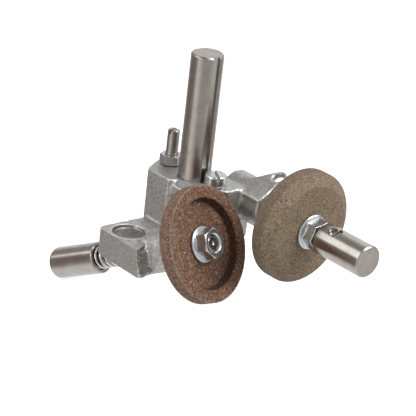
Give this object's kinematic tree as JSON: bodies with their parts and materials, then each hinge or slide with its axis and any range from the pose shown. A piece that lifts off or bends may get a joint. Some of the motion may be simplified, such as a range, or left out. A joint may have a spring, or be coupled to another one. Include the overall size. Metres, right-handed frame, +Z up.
{
  "type": "slicer blade sharpener head",
  "caption": "Sharpener head for a rotary-blade slicer: a cast body on a grooved mounting post carries two sprung, free-turning cup stones, pushed against the blade edge by round knobs.",
  "frame": {"origin": "on the post's axis, where the post leaves the flat top of the casting", "axes": "+Z up along the post, +X along the truing spindle towards its knob, +Y away from the arm, towards the back of the casting"},
  "size_m": [0.1522, 0.0976, 0.1283],
  "materials": {
    "cast_body": "tumbled casting, satin, worn bright on its edges",
    "ground_steel": "ground and lightly polished",
    "zinc_plate": "bright zinc plate",
    "bronze": "sintered bronze, dull",
    "coarse_grit": "coarse bonded grit, matt",
    "fine_grit": "fine bonded grit, matt",
    "spring_wire": "bright drawn wire"
  },
  "bodies": {
    "body": {"casting": "cast_body", "post": "ground_steel", "post_cross_pin": "ground_steel", "stop_screw_locknut": "zinc_plate", "clamp_screw": "zinc_plate", "clamp_screw_washer": "zinc_plate", "bush_1_rear": "bronze", "bush_1_front": "bronze", "bush_2_rear": "bronze", "bush_2_front": "bronze", "return_spring_1": "spring_wire", "return_spring_2": "spring_wire"},
    "stop_screw": {"stop_screw": "ground_steel"},
    "push_slide": {"thrust_washer_1": "ground_steel"},
    "grinding_spindle": {"spindle_1": "ground_steel", "grinding_stone": "coarse_grit", "flange_nut_1": "zinc_plate", "push_knob": "ground_steel", "push_knob_grub_screw": "zinc_plate"},
    "truing_slide": {"thrust_washer_2": "ground_steel"},
    "truing_spindle": {"spindle_2": "ground_steel", "truing_stone": "fine_grit", "flange_nut_2": "zinc_plate", "front_knob": "ground_steel", "front_knob_grub_screw": "zinc_plate", "tail_washer": "zinc_plate", "retaining_ring": "ground_steel"}
  },
  "joints": [
    {"name": "stop_screw_height", "type": "slide", "parent": "body", "child": "stop_screw", "axis": [0, 0, 1], "range_m": [-0.0035, 0.004]},
    {"name": "grinding_push", "type": "slide", "parent": "body", "child": "push_slide", "axis": [0.8784, 0.2076, 0.4305], "range_m": [0, 0.0075], "stiffness_N_per_m": 800, "springref_m": -0.006, "deforming": ["return_spring_1"]},
    {"name": "grinding_spin", "type": "hinge", "parent": "push_slide", "child": "grinding_spindle", "pos_m": [0.0364, -0.0199, -0.0168], "axis": [0.8784, 0.2076, 0.4305], "continuous": true},
    {"name": "truing_push", "type": "slide", "parent": "body", "child": "truing_slide", "axis": [-1, 0, 0], "range_m": [0, 0.0045], "stiffness_N_per_m": 1000, "springref_m": -0.005, "deforming": ["return_spring_2"]},
    {"name": "truing_spin", "type": "hinge", "parent": "truing_slide", "child": "truing_spindle", "pos_m": [0.0578, 0.0209, -0.0087], "axis": [1, 0, 0], "continuous": true}
  ]
}
